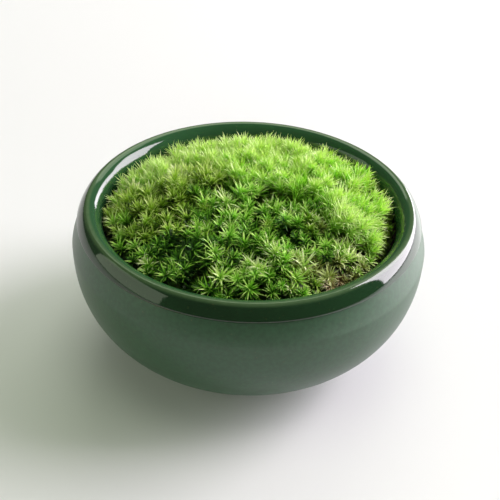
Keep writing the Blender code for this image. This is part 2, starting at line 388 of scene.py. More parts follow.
@dataclass(frozen=True)
class GlazeFinish:
    """A thick green glaze over clay. Widths are metres, and rates are noise patches to a metre.

    It is glassy on the rim and hazy on the body. Its rim's top is lighter, as thin glaze with a
    painted highlight, and just above the crease it is painted darker as shade. It wears brown
    along the crease on one side, and leaves the foot ring bare. A pair of numbers says where a
    kind of glaze starts and where it is full, from the rim's top, the crease or the noise's zero.
    """

    deep: Color = (0.006, 0.026, 0.008)
    clear: Color = (0.023, 0.080, 0.030)
    # the rim top's thin glaze, lightened as a painted highlight
    crest_thin_glaze_and_highlight: Color = (0.090, 0.150, 0.066)
    haze: Color = (0.023, 0.086, 0.036)
    # painted shade just above the crease
    painted_crease_shade: Color = (0.005, 0.018, 0.007)
    thin: Color = (0.150, 0.110, 0.045)
    clay: Color = (0.300, 0.235, 0.165)
    roughness: float = 0.06
    haze_roughness: float = 0.36
    clay_roughness: float = 0.6
    ior: float = 1.6
    cloud_rate: float = 48.0
    grain_rate: float = 900.0
    speck_rate: float = 1500.0
    inner_edge: Point = (-0.0010, 0.0012)
    edge_wander: float = 0.0008
    inner_share: float = 0.85
    clouds: Point = (0.34, 0.66)
    # where the rim top's thin glaze and painted highlight reach, and how strong it is
    crest_reach: Point = (0.0004, 0.0013)
    crest_foot: Point = (0.0, 0.0010)
    crest_share: float = 0.40
    crest_grain: float = 0.45
    outer_edge: Point = (-0.0026, -0.0018)
    body_depth: Point = (-0.0063, -0.0058)
    body_top: Point = (-0.0006, 0.0)
    body_share: float = 0.78
    haze_low: float = 0.72
    haze_grains: Point = (0.30, 0.70)
    line_wander: float = 0.0003
    line_width: float = 0.00022
    # where the painted shade above the crease starts and ends, and how strong it is
    crease_shade_start: Point = (0.0, 0.0001)
    crease_shade_end: Point = (0.0002, 0.0009)
    crease_shade_share: float = 0.8
    worn_side: Point = (-0.77, -0.64)
    worn_reach: Point = (0.62, 0.92)
    worn_clouds: Point = (0.30, 0.55)
    worn_least: float = 0.05
    worn_gain: float = 0.85
    specks: Point = (0.70, 0.78)
    speck_share: float = 0.25
    bare_wander: float = 0.0004
    bare_height: Point = (0.0007, 0.0010)
    bump_cloud: float = 0.6
    bump_grain: float = 0.06
    bump_strength: float = 0.2
    bump_height: float = 0.0008

    def material(self, bowl: "Bowl") -> Material:
        """Make the glaze for a bowl.

        Args:
            bowl: its rim, crease and foot place the glaze's kinds.

        Returns:
            The material.
        """
        looks = Looks("glaze")
        graph = looks.graph
        place = looks.place()
        x, y, z = graph.parts(place)
        radius = (x * x + y * y) ** 0.5
        cloud = graph.noise(place, self.cloud_rate, 3)
        grain = graph.noise(place, self.grain_rate, 2)
        top_radius = bowl.place(*bowl.rim_top)[0]
        crease_radius, crease_height = bowl.place(*bowl.crease)

        wandering = radius + self.edge_wander * (cloud - 0.5)
        inner = 1.0 - graph.step(wandering, self.inner_edge, top_radius)
        cloudy = graph.step(cloud, self.clouds)
        greener = self.inner_share * inner + (1.0 - self.inner_share) * cloudy
        colour = graph.mix(greener, self.deep, self.clear)
        # The rim's top: thin glaze, lightened as a painted highlight.
        crest_thin_glaze_and_highlight = graph.near(radius, self.crest_reach, top_radius)
        crest_thin_glaze_and_highlight = crest_thin_glaze_and_highlight * graph.step(z, self.crest_foot, crease_height)
        crest_thin_glaze_and_highlight = (self.crest_share + self.crest_grain * grain) * crest_thin_glaze_and_highlight
        colour = graph.mix(crest_thin_glaze_and_highlight, colour, self.crest_thin_glaze_and_highlight)

        outer = graph.step(radius, self.outer_edge, crease_radius)
        low = 1.0 - graph.step(z, self.body_depth, crease_height)
        under = 1.0 - graph.step(z, self.body_top, crease_height)
        body = graph.math("MAXIMUM", outer, low) * under
        dim = tuple(self.haze_low * part for part in self.haze)
        haze = graph.mix(graph.step(grain, self.haze_grains), dim, self.haze)
        colour = graph.mix(self.body_share * body, colour, haze)

        above = z - crease_height + self.line_wander * (grain - 0.5)
        # Painted shade: the band is darkened just above the crease.
        crease_shade_mask = graph.step(above, self.crease_shade_start) * (1.0 - graph.step(above, self.crease_shade_end))
        colour = graph.mix(self.crease_shade_share * crease_shade_mask * outer, colour, self.painted_crease_shade)
        line = outer * graph.near(above, (0.5 * self.line_width, 1.5 * self.line_width))
        facing = (self.worn_side[0] * x + self.worn_side[1] * y) / radius
        worn = self.worn_least + self.worn_gain * graph.step(facing, self.worn_reach)
        colour = graph.mix(worn * line * graph.step(cloud, self.worn_clouds), colour, self.thin)
        speck = graph.step(graph.noise(place, self.speck_rate, 1), self.specks)
        colour = graph.mix(self.speck_share * speck, colour, self.thin)

        bare = 1.0 - graph.step(z + self.bare_wander * (cloud - 0.5), self.bare_height)
        haze_gain = self.haze_roughness - self.roughness
        sockets = {
            "Base Color": graph.mix(bare, colour, self.clay),
            "Roughness": self.roughness + haze_gain * body + self.clay_roughness * bare,
            "IOR": self.ior,
        }
        relief = self.bump_cloud * cloud + self.bump_grain * grain
        return looks.finish(sockets, (relief, self.bump_strength, self.bump_height))


@dataclass(frozen=True)
class SoilFinish:
    """Dark potting soil, with lighter grit and fibre."""

    damp: Color = (0.010, 0.006, 0.004)
    dry: Color = (0.060, 0.036, 0.020)
    grit: Color = (0.160, 0.110, 0.070)
    lump_rate: float = 420.0
    grain_rate: float = 1700.0
    lumps: Point = (0.35, 0.70)
    grits: Point = (0.66, 0.74)
    grit_share: float = 0.6
    lump_detail: float = 0.65
    roughness: float = 0.80
    roughness_gain: float = 0.15
    bump_grain: float = 0.4
    bump_strength: float = 0.6
    bump_height: float = 0.0012

    def material(self) -> Material:
        """Make the soil.

        Returns:
            The material.
        """
        looks = Looks("soil")
        graph = looks.graph
        place = looks.place()
        lump = graph.noise(place, self.lump_rate, 4, self.lump_detail)
        grain = graph.noise(place, self.grain_rate, 2)
        colour = graph.mix(graph.step(lump, self.lumps), self.damp, self.dry)
        gritty = self.grit_share * graph.step(grain, self.grits)
        sockets = {
            "Base Color": graph.mix(gritty, colour, self.grit),
            "Roughness": self.roughness + self.roughness_gain * grain,
        }
        relief = lump + self.bump_grain * grain
        return looks.finish(sockets, (relief, self.bump_strength, self.bump_height))


class Hue(Enum):
    """The columns of the moss map, from left to right."""

    # the pads' column: humus, and painted shade under the leaves
    HUMUS_AND_SHADE = 0
    DEEP = 1
    OLIVE = 2
    DRY = 3
    STRAW = 4
    BRIGHT = 5


MAP_MARGIN = 0.06
SHADES: dict[Hue, tuple[Color, ...]] = {
    # near black: humus under the leaves, and painted shade in the gaps between them
    Hue.HUMUS_AND_SHADE: ((0.004, 0.005, 0.002), (0.008, 0.010, 0.003), (0.014, 0.015, 0.005),
                (0.016, 0.024, 0.006)),
    Hue.DEEP: ((0.004, 0.017, 0.003), (0.042, 0.145, 0.012), (0.176, 0.480, 0.034),
               (0.430, 0.850, 0.090), (0.700, 0.960, 0.240)),
    Hue.OLIVE: ((0.012, 0.025, 0.004), (0.084, 0.165, 0.014), (0.265, 0.480, 0.034),
                (0.530, 0.790, 0.090), (0.760, 0.890, 0.290)),
    Hue.DRY: ((0.026, 0.022, 0.008), (0.120, 0.125, 0.028), (0.260, 0.320, 0.055),
              (0.470, 0.570, 0.140), (0.700, 0.800, 0.330)),
    Hue.STRAW: ((0.024, 0.012, 0.005), (0.090, 0.045, 0.018), (0.230, 0.140, 0.055),
                (0.480, 0.360, 0.170), (0.660, 0.560, 0.320)),
    Hue.BRIGHT: ((0.044, 0.140, 0.010), (0.235, 0.610, 0.036), (0.530, 0.920, 0.120),
                 (0.780, 0.985, 0.290), (0.940, 0.990, 0.560)),
}


@dataclass(frozen=True)
class MossFinish:
    """Moss leaves. On their map a leaf runs along U in its hue's column, and V is its shade."""

    slot: Slot
    glow: Color
    glow_share: float
    roughness: float = 0.44
    ior: float = 1.38
    # how much darker a leaf's foot is painted, as shade deep in the moss, and how much paler its tip
    # is
    base_shade_tip_pale: float = 0.76
    base_shade_tip_pale_middle: float = 0.70

    def material(self) -> Material:
        """Make the moss, a colour for each place on its map.

        Returns:
            The material.
        """
        looks = Looks(self.slot.value)
        graph = looks.graph
        across, shade, _ = graph.parts(graph.node("ShaderNodeUVMap", {"uv_map": UV_MAP}))
        column = across * len(Hue)
        along = (graph.math("FRACT", column) - MAP_MARGIN) / (1.0 - 2.0 * MAP_MARGIN)
        # A leaf is painted darker towards its foot, as shade deep in the moss, and paler at its tip.
        level = shade + self.base_shade_tip_pale * (along - self.base_shade_tip_pale_middle)
        colour = graph.ramp(shade, SHADES[Hue.HUMUS_AND_SHADE])
        for hue in list(Hue)[1:]:
            past = graph.math("GREATER_THAN", column, float(hue.value))
            colour = graph.mix(past, colour, graph.ramp(level, SHADES[hue]))
        sockets = {"Base Color": colour, "Roughness": self.roughness, "IOR": self.ior}
        return looks.finish(sockets, through=(self.glow, self.glow_share))


@dataclass(frozen=True)
class FloorFinish:
    """A plain pale tabletop."""

    color: Color = (0.806, 0.799, 0.812)
    mottle_rate: float = 9.0
    mottle_low: float = 0.985
    roughness: float = 0.55
    roughness_gain: float = 0.05

    def material(self) -> Material:
        """Make the tabletop, with a faint mottle.

        Returns:
            The material.
        """
        looks = Looks("floor")
        graph = looks.graph
        cloud = graph.noise(looks.place(), self.mottle_rate, 2)
        dim = tuple(self.mottle_low * part for part in self.color)
        sockets = {
            "Base Color": graph.mix(cloud, dim, self.color),
            "Roughness": self.roughness + self.roughness_gain * cloud,
        }
        return looks.finish(sockets)


BRIGHT_MOSS = MossFinish(Slot.BRIGHT, (0.720, 0.970, 0.220), 0.38)
DEEP_MOSS = MossFinish(Slot.DEEP, (0.340, 0.660, 0.060), 0.26)
OLIVE_MOSS = MossFinish(Slot.OLIVE, (0.420, 0.600, 0.060), 0.26)
DRY_MOSS = MossFinish(Slot.DRY, (0.420, 0.480, 0.080), 0.20)


def settle(item: Object, slot: Slot, *nodes: str) -> Object:
    """Hand a finished piece to the frame.

    Args:
        item: the piece, with its place in its mesh.
        slot: the record's slot that it takes its finish from; not used.
        nodes: the nodes that it stands for.

    Returns:
        The piece.
    """
    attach(item, BODY)
    if nodes:
        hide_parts(*nodes)
    LOG.info("%s: %d faces", item.name, len(item.data.polygons))
    return item


def new_piece(name: str, mesh: Mesh) -> Object:
    """Put a mesh in the scene.

    Args:
        name: the piece's name.
        mesh: its mesh.

    Returns:
        The piece.
    """
    item = bpy.data.objects.new(name, mesh)
    bpy.context.scene.collection.objects.link(item)
    return item


def bake_modifiers(item: Object) -> Object:
    """Replace an object's mesh and modifiers by the plain mesh that they make.

    Args:
        item: the object.

    Returns:
        The same object.
    """
    shape = item.evaluated_get(bpy.context.evaluated_depsgraph_get())
    made = bpy.data.meshes.new_from_object(shape)
    item.modifiers.clear()
    old = item.data
    item.data = made
    bpy.data.meshes.remove(old)
    made.name = item.name
    return item


def grow(item: Object, tree: NodeTree, values: dict[str, Any]) -> Object:
    """Run a Geometry Nodes tree on an object and keep the plain mesh that it makes.

    Args:
        item: the object that the tree starts from.
        tree: the tree.
        values: a value for each of the tree's named inputs.

    Returns:
        The same object.
    """
    modifier = item.modifiers.new(tree.name, "NODES")
    modifier.node_group = tree
    known = {socket.name: socket.identifier for socket in tree.interface.items_tree
             if socket.item_type == "SOCKET" and socket.in_out == "INPUT"}
    for name, value in values.items():
        modifier[known[name]] = value
    return bake_modifiers(item)


def turned(name: str, line: Sequence[Point], steps: int) -> Object:
    """Turn a line round Z.

    Args:
        name: the piece's name.
        line: the radius and height of each point, from the axis to the axis.
        steps: the segments round.

    Returns:
        The piece, closed and smooth.
    """
    mesh = bpy.data.meshes.new(name)
    edges = [(index, index + 1) for index in range(len(line) - 1)]
    mesh.from_pydata([(radius, 0.0, height) for radius, height in line], edges, [])
    item = new_piece(name, mesh)
    turn = item.modifiers.new("Turn", "SCREW")
    turn.angle = math.tau
    turn.steps = turn.render_steps = steps
    turn.use_merge_vertices = True
    turn.merge_threshold = TOUCHING
    bake_modifiers(item).data.shade_smooth()
    return item


def bezier(corners: Sequence[Point], steps: int) -> list[Point]:
    """A cubic curve.

    Args:
        corners: its start, its two controls and its end.
        steps: its spans.

    Returns:
        Its points, from after its start to its end.
    """
    points: list[Point] = []
    for step in range(1, steps + 1):
        t = step / steps
        weights = ((1 - t) ** 3, 3 * t * (1 - t) ** 2, 3 * t * t * (1 - t), t ** 3)
        pulls = (weight * Vector(corner) for weight, corner in zip(weights, corners))
        points.append(tuple(sum(pulls, Vector((0, 0)))))
    return points


def rounded(points: Sequence[tuple[float, float, float]], steps: int) -> list[Point]:
    """A line through points, with each corner turned on a curve.

    Args:
        points: radius, height, and how far from the corner its curve starts.
        steps: the spans of each curve.

    Returns:
        The line's points.
    """
    line: list[Point] = []
    for index, (x, z, cut) in enumerate(points):
        corner = Vector((x, z))
        if cut == 0.0 or index in (0, len(points) - 1):
            line.append((x, z))
            continue
        before = Vector(points[index - 1][:2]) - corner
        after = Vector(points[index + 1][:2]) - corner
        start = corner + before.normalized() * min(cut, LONGEST_CUT * before.length)
        end = corner + after.normalized() * min(cut, LONGEST_CUT * after.length)
        for step in range(steps + 1):
            t = step / steps
            at = start * (1 - t) ** 2 + corner * 2 * t * (1 - t) + end * t ** 2
            line.append((at.x, at.y))
    return line


@dataclass
class Bowl:
    """The glazed bowl, turned about Z.

    Its belly, foot and cavity are in metres. What shapes its body and rim is in shares of the
    belly's radius, from the belly's plane.
    """

    belly_radius: float
    belly_height: float = 0.0389
    body_depth: float = 0.737
    body_power: float = 2.39
    shoulder_bow: float = 1.26
    crease: Point = (0.957, 0.135)
    band: Point = (0.9512, 0.1827)
    lip: Point = (0.9665, 0.1404)
    rim_top: Point = (0.909, 0.217)
    tuck: tuple[Point, Point] = ((0.9679, 0.1366), (0.9625, 0.1350))
    rim_outer_reach: float = 0.014
    rim_inner_reach: float = 0.050
    throat: Point = (0.825, 0.110)
    throat_reach: float = 0.055
    foot_radius: float = 0.0270
    foot_width: float = 0.0042
    foot_height: float = 0.0008
    foot_round: float = 0.0004
    recess: float = 0.0012
    cavity_radius: float = 0.0496
    cavity_height: float = 0.0330
    cavity_power: float = 2.5
    cavity_bend: float = 0.45
    floor_height: float = 0.0042
    turn_steps: int = 224
    curve_steps: int = 12
    cavity_steps: int = 14
    shoulder_steps: int = 12
    body_steps: int = 40
    foot_steps: int = 3
    sharp_angle: float = math.radians(38)
    finish: GlazeFinish = GlazeFinish()

    def place(self, radius: float, height: float) -> Point:
        """A point given in shares of the belly's radius, from its plane, in metres."""
        return radius * self.belly_radius, self.belly_height + height * self.belly_radius

    def inside(self) -> list[Point]:
        """Draw the cavity's line.

        Returns:
            Its points, from the middle of its floor up to the throat.
        """
        points = [(0.0, self.floor_height)]
        depth = self.cavity_height - self.floor_height
        for step in range(self.cavity_steps + 1):
            share = math.cos(0.5 * math.pi * step / self.cavity_steps) ** 0.5
            reach = max(0.0, 1.0 - share ** self.cavity_power) ** (1.0 / self.cavity_power)
            points.append((self.cavity_radius * reach, self.cavity_height - depth * share))
        throat = self.place(*self.throat)
        bend = self.cavity_bend * (throat[1] - self.cavity_height)
        corners = [
            (self.cavity_radius, self.cavity_height),
            (self.cavity_radius, self.cavity_height + bend),
            (throat[0], throat[1] - bend),
            throat,
        ]
        return points[:1] + points[2:] + bezier(corners, self.curve_steps)

    def over_rim(self) -> list[Point]:
        """Draw the rim's line.

        Returns:
            Its points, from the throat over its top and down its band to the crease.
        """
        radius, height = self.rim_top
        inside = (self.throat, (self.throat[0], self.throat[1] + self.throat_reach),
                  (radius - self.rim_inner_reach, height), self.rim_top)
        outside = (self.rim_top, (radius + self.rim_outer_reach, height), self.band, self.lip)
        under = (self.lip, *self.tuck, self.crease)
        line = bezier(inside, self.curve_steps) + bezier(outside, 2 * self.curve_steps)
        line += bezier(under, self.curve_steps // 2)
        return [self.place(*point) for point in line]

    def outside(self) -> list[Point]:
        """Draw the body's line.

        Returns:
            Its points, from under the crease round the belly down to the foot.
        """
        points = []
        for step in range(1, self.shoulder_steps + 1):
            share = 1.0 - step / self.shoulder_steps
            radius = 1.0 - (1.0 - self.crease[0]) * share ** self.shoulder_bow
            points.append(self.place(radius, self.crease[1] * share))
        foot_share = self.foot_radius / self.belly_radius
        last = (1.0 - foot_share ** self.body_power) ** (1.0 / self.body_power)
        for step in range(1, self.body_steps + 1):
            share = last * math.sin(0.5 * math.pi * step / self.body_steps)
            radius = (1.0 - share ** self.body_power) ** (1.0 / self.body_power)
            points.append(self.place(radius, -self.body_depth * share))
        return points

    def foot(self) -> list[Point]:
        """Draw the line of the foot ring and of the recess inside it.

        Returns:
            Its points, from the ring's outside to the middle of the underside.
        """
        inner = self.foot_radius - self.foot_width
        ring = [
            (self.foot_radius, self.foot_height, 0.0),
            (self.foot_radius, 0.0, self.foot_round),
            (inner, 0.0, self.foot_round),
            (inner - self.foot_round, self.recess, self.foot_round),
            (0.0, self.recess, 0.0),
        ]
        return rounded(ring, self.foot_steps)[1:]

    def inner_radius(self, height: np.ndarray) -> np.ndarray:
        """Measure the inner wall.

        Args:
            height: heights between the floor and the rim's top.

        Returns:
            The wall's radius at each height.
        """
        line = np.array(self.inside() + self.over_rim())
        line = line[: int(np.argmax(line[:, 1])) + 1]
        return np.interp(height, line[:, 1], line[:, 0])

    def build(self) -> Object:
        """Turn the bowl and glaze it.

        Returns:
            The piece.
        """
        line = self.inside() + self.over_rim() + self.outside() + self.foot()
        item = turned("glazed_bowl", line, self.turn_steps)
        item.data.set_sharp_from_angle(angle=self.sharp_angle)
        item.data.materials.append(self.finish.material(self))
        return settle(item, Slot.GLAZE, "bowl")


@dataclass
class Soil:
    """The soil in the bowl: a crumbly bed, with loose crumbs where the moss leaves it bare."""

    bowl: Bowl
    height: float = 0.0430
    gap: float = 0.0003
    rings: int = 26
    turn_steps: int = 200
    roughness: float = 0.0008
    lump_rate: float = 520.0
    lump_share: float = 0.8
    sunk_share: float = 0.5
    fractal: tuple[float, float, int] = (0.9, 2.1, 3)
    crumbs: int = 420
    crumb_band: Point = (0.0425, 0.0465)
    crumb_size: Point = (0.00028, 0.00085)
    crumb_seat: float = 0.0002
    crumb_least: Color = (0.6, 0.5, 0.4)
    crumb_most: Color = (1.2, 1.0, 0.9)
    seed: int = 5
    finish: SoilFinish = SoilFinish()

    def line(self) -> list[Point]:
        """Draw the bed's line.

        Returns:
            Its points, from the middle of its top over its edge and down the bowl's wall.
        """
        edge = float(self.bowl.inner_radius(np.array([self.height]))[0]) - self.gap
        top = [(edge * (ring / self.rings) ** 0.5, self.height) for ring in range(self.rings + 1)]
        limit = self.height - 2 * self.roughness
        floor = self.bowl.floor_height
        wall = [point for point in self.bowl.inside() if floor + HAIR < point[1] < limit]
        down = [(radius - self.gap, height + self.gap) for radius, height in reversed(wall)]
        return top + down + [(0.0, floor + self.gap)]

    def bed(self) -> Object:
        """Turn the bed, and raise and sink its top by noise.

        Returns:
            The piece, without its finish.
        """
        item = turned("soil_bed", self.line(), self.turn_steps)
        for vertex in item.data.vertices:
            if vertex.co.z > self.height - HAIR:
                lump = noise.fractal(vertex.co * self.lump_rate, *self.fractal)
                vertex.co.z += self.roughness * (self.lump_share * lump - self.sunk_share)
        return item

    def crumb_tree(self) -> NodeTree:
        """Make the Geometry Nodes that put a broken crumb on each point.

        Returns:
            The tree.
        """
        graph = Growth("soil_crumbs", {"Spots": "Geometry", "Smallest": "Float", "Largest": "Float",
                                       "Seed": "Int", "Finish": "Material"})
        given = graph.given
        seed = given.output("Seed")
        points = graph.node("GeometryNodeMeshToPoints", inputs={"Mesh": given})
        crumb = graph.node("GeometryNodeMeshIcoSphere", inputs={"Radius": 1.0, "Subdivisions": 1})
        turn = graph.random((0.0, 0.0, 0.0), (math.tau,) * 3, seed)
        size = graph.random(given.output("Smallest"), given.output("Largest"), seed)
        squash = graph.random(self.crumb_least, self.crumb_most, seed)
        return graph.end(graph.node("GeometryNodeInstanceOnPoints", inputs={
            "Points": points, "Instance": crumb, "Rotation": turn, "Scale": squash * size}))

    def build(self) -> Object:
        """Make the bed and the crumbs on it, as two pieces of one finish.

        Returns:
            The bed.
        """
        material = self.finish.material()
        bed = self.bed()
        bed.data.materials.append(material)
        settle(bed, Slot.SOIL, "soil")
        draw = random.Random(self.seed)
        spots = []
        for _ in range(self.crumbs):
            angle, radius = draw.uniform(0, math.tau), draw.uniform(*self.crumb_band)
            height = self.height + self.crumb_seat
            spots.append((radius * math.cos(angle), radius * math.sin(angle), height))
        mesh = bpy.data.meshes.new("crumbs")
        mesh.from_pydata(spots, [], [])
        smallest, largest = self.crumb_size
        crumbs = grow(new_piece("soil_crumbs", mesh), self.crumb_tree(), {
            "Smallest": smallest, "Largest": largest, "Seed": self.seed, "Finish": material})
        settle(crumbs, Slot.SOIL)
        return bed


@dataclass(frozen=True)
class Habit:
    """How a moss grows: the room a shoot has, and its leaves from the lowest to the highest."""

    finish: MossFinish
    hue: Hue
    spacing: float
    leaf_length: float
    leaf_width: float
    low_angle: float
    high_angle: float
    arch: float
    shade: float
    leaves: int = 42
    stem: float = 0.0029
    tip_share: float = 0.90

    @property
    def reach(self) -> float:
        """A shoot's height up to its highest leaves' tips."""
        return self.stem + self.tip_share * self.leaf_length


BRIGHT = Habit(BRIGHT_MOSS, Hue.BRIGHT, 0.0021, 0.0050, 0.00040, 0.98, 1.50, 0.26, 0.71)
CUSHION = Habit(BRIGHT_MOSS, Hue.BRIGHT, 0.0021, 0.0054, 0.00040, 0.90, 1.48, 0.30, 0.58)
DEEP = Habit(DEEP_MOSS, Hue.DEEP, 0.0023, 0.0041, 0.00047, 0.62, 1.32, 0.40, 0.63)
OLIVE = Habit(OLIVE_MOSS, Hue.OLIVE, 0.0022, 0.0045, 0.00044, 0.78, 1.38, 0.28, 0.65)
DRY = Habit(DRY_MOSS, Hue.DRY, 0.0023, 0.0043, 0.00044, 0.35, 1.22, 0.40, 0.60)


@dataclass(frozen=True)
class Clump:
    """A clump of moss: its middle on the plan, how far it stands up, its habit and its sweep."""

    x: float
    y: float
    lift: float
    habit: Habit
    sweep: Point = (0.0, 0.0)

    @property
    def middle(self) -> Vector:
        """Its middle on the plan."""
        return Vector((self.x, self.y))


CLUMPS = (
    Clump(-0.002, 0.034, 0.0004, BRIGHT),
    Clump(0.019, 0.030, 0.0006, BRIGHT),
    Clump(0.035, 0.014, 0.0014, CUSHION, (0.45, 0.05)),
    Clump(0.036, -0.007, 0.0018, CUSHION, (0.55, -0.05)),
    Clump(0.027, -0.026, -0.0012, DRY),
    Clump(0.009, -0.034, 0.0000, DEEP),
    Clump(-0.012, -0.031, 0.0003, DEEP),
    Clump(-0.030, -0.021, -0.0008, DEEP),
    Clump(-0.038, -0.001, 0.0002, OLIVE),
    Clump(-0.033, 0.018, 0.0000, BRIGHT),
    Clump(-0.019, 0.029, 0.0000, BRIGHT),
    Clump(-0.019, 0.006, 0.0004, OLIVE),
    Clump(-0.001, 0.015, 0.0008, BRIGHT),
    Clump(0.017, 0.009, 0.0010, BRIGHT),
    Clump(0.013, -0.012, -0.0016, DEEP),
    Clump(-0.010, -0.010, -0.0004, DEEP),
)


@dataclass(frozen=True)
class Patch:
    """A spot where the moss differs, and what it adds to its shoots' height, size and shade."""

    x: float
    y: float
    reach: float
    lift: float = 0.0
    vigour: float = 0.0
    shade: float = 0.0
    hue: Optional[Hue] = None

    def weight(self, spot: Vector) -> float:
        """How much it counts at a spot: 1 in its middle, and 0 past its reach."""
        share = (spot - Vector((self.x, self.y))).length / self.reach
        return max(0.0, 1.0 - share * share)


# What a patch adds to the size of its shoots to leave its middle bare.
BARE = -1.60
PATCHES = (
    # broad light and shade
    Patch(0.0050, 0.0340, 0.0280, 0.0, 0.06, 0.46),
    Patch(-0.0270, 0.0220, 0.0230, 0.0, 0.06, 0.56),
    Patch(-0.0200, -0.0330, 0.0180, 0.0, 0.0, -0.54),
    Patch(0.0040, -0.0300, 0.0120, 0.0, 0.0, -0.10),
    Patch(0.0340, 0.0020, 0.0180, 0.0, 0.0, 0.18),
    Patch(0.0360, -0.0160, 0.0120, 0.0006, 0.04, 0.50, Hue.BRIGHT),
    # the ridge of pale tufts
    Patch(0.0184, 0.0092, 0.0058, 0.0008, 0.10, 0.14, Hue.BRIGHT),
    Patch(0.0243, 0.0004, 0.0058, 0.0008, 0.12, 0.16, Hue.BRIGHT),
    Patch(0.0280, -0.0071, 0.0058, 0.0010, 0.12, 0.36, Hue.BRIGHT),
    Patch(0.0304, -0.0144, 0.0054, 0.0007, 0.10, 0.22, Hue.BRIGHT),
    Patch(0.0310, -0.0203, 0.0045, 0.0006, 0.05, 0.12, Hue.BRIGHT),
    # the hollow beside it, of dark moss with a little painted shade, the olive side and the dry
    # patches
    Patch(0.0100, -0.0190, 0.0085, -0.0014, -0.36, -0.06, Hue.DEEP),
    Patch(0.0200, -0.0200, 0.0085, -0.0014, -0.30, -0.06, Hue.DEEP),
    Patch(-0.0270, -0.0110, 0.0120, -0.0004, -0.05, -0.08, Hue.OLIVE),
    Patch(-0.0345, -0.0020, 0.0080, 0.0, 0.0, -0.06, Hue.OLIVE),
    Patch(-0.0205, -0.0219, 0.0070, -0.0006, -0.10, -0.10, Hue.DEEP),
    Patch(0.0270, -0.0330, 0.0075, -0.0010, -0.10, -0.04, Hue.DRY),
    Patch(0.0370, -0.0240, 0.0065, -0.0008, -0.10, -0.02, Hue.DRY),
    # bare spots
    Patch(0.0008, -0.0058, 0.0026, -0.0020, BARE),
    Patch(-0.0122, -0.0355, 0.0030, -0.0010, BARE),
    Patch(0.0085, -0.0349, 0.0026, -0.0010, BARE),
    Patch(0.0248, -0.0314, 0.0032, -0.0010, BARE),
    Patch(0.0040, -0.0425, 0.0036, 0.0, BARE),
    Patch(0.0115, -0.0425, 0.0030, 0.0, BARE),
    Patch(-0.0372, -0.0232, 0.0034, 0.0, BARE),
    Patch(0.0440, -0.0115, 0.0036, 0.0, BARE),
    Patch(-0.0065, 0.0030, 0.0022, 0.0, BARE),
)


@dataclass(frozen=True)
class Tuft:
    """A lone shoot that stands out: its place, its size and its shade."""

    x: float
    y: float
    vigour: float
    shade: float


TUFTS = (
    Tuft(0.0065, -0.0319, 1.30, 0.86),
    Tuft(-0.0076, -0.0388, 1.22, 0.78),
    Tuft(0.0136, -0.0397, 1.30, 0.82),
    Tuft(0.0168, -0.0308, 1.35, 0.86),
    Tuft(-0.0307, -0.0300, 1.20, 0.76),
    Tuft(-0.0225, -0.0345, 1.20, 0.74),
    Tuft(-0.0392, -0.0132, 1.10, 0.72),
    Tuft(0.0310, -0.0240, 1.15, 0.78),
    Tuft(0.0372, -0.0205, 1.05, 0.74),
)


@dataclass(frozen=True)
class Shoot:
    """A leafy shoot: its root, the way it points, its size, colour and first leaf's turn."""

    root: Vector
    axis: Vector
    vigour: float
    girth: float
    shade: float
    hue: float
    phase: float


SHOOT_FACTS = ("axis", "vigour", "girth", "shade", "hue", "phase")
LEAF_FACTS = ("along", "across", "bend", "leaf_shade", "turn", "size")


@dataclass(frozen=True)
class Blade:
    """A leaf of unit size along +Z: a closed spindle with a keel, of eighteen triangles."""

    segments: int = 4
    crowding: float = 1.15
    half_width: float = 0.577
    keel: float = 0.26
    fullness: float = 2.1
    base_power: float = 0.45
    tip_power: float = 0.75
    across_gain: float = 1.15
    merging: float = 1e-4

    def build(self, graph: Growth) -> Wire:
        """Add the blade's nodes.

        Args:
            graph: the tree to add them to.

        Returns:
            The blade, with how far along and across it each point is.
        """
        tube = graph.node("GeometryNodeMeshCylinder", {"fill_type": "NONE"}, {
            "Vertices": 3, "Side Segments": self.segments, "Radius": 1.0, "Depth": 1.0})
        x, y, z = graph.parts(graph.node("GeometryNodeInputPosition"))
        along = graph.math("MAXIMUM", z + 0.5, 0.0) ** self.crowding
        tube = graph.store(tube, "along", along)
        tube = graph.store(tube, "across", self.across_gain * y)
        left = graph.math("MAXIMUM", 1.0 - along, 0.0)
        width = self.fullness * along ** self.base_power * left ** self.tip_power
        shape = graph.combine(self.half_width * y * width, -self.keel * x * width, along)
        leaf = graph.node("GeometryNodeSetPosition", inputs={"Geometry": tube, "Position": shape})
        return graph.node("GeometryNodeMergeByDistance",
                          inputs={"Geometry": leaf, "Distance": self.merging})


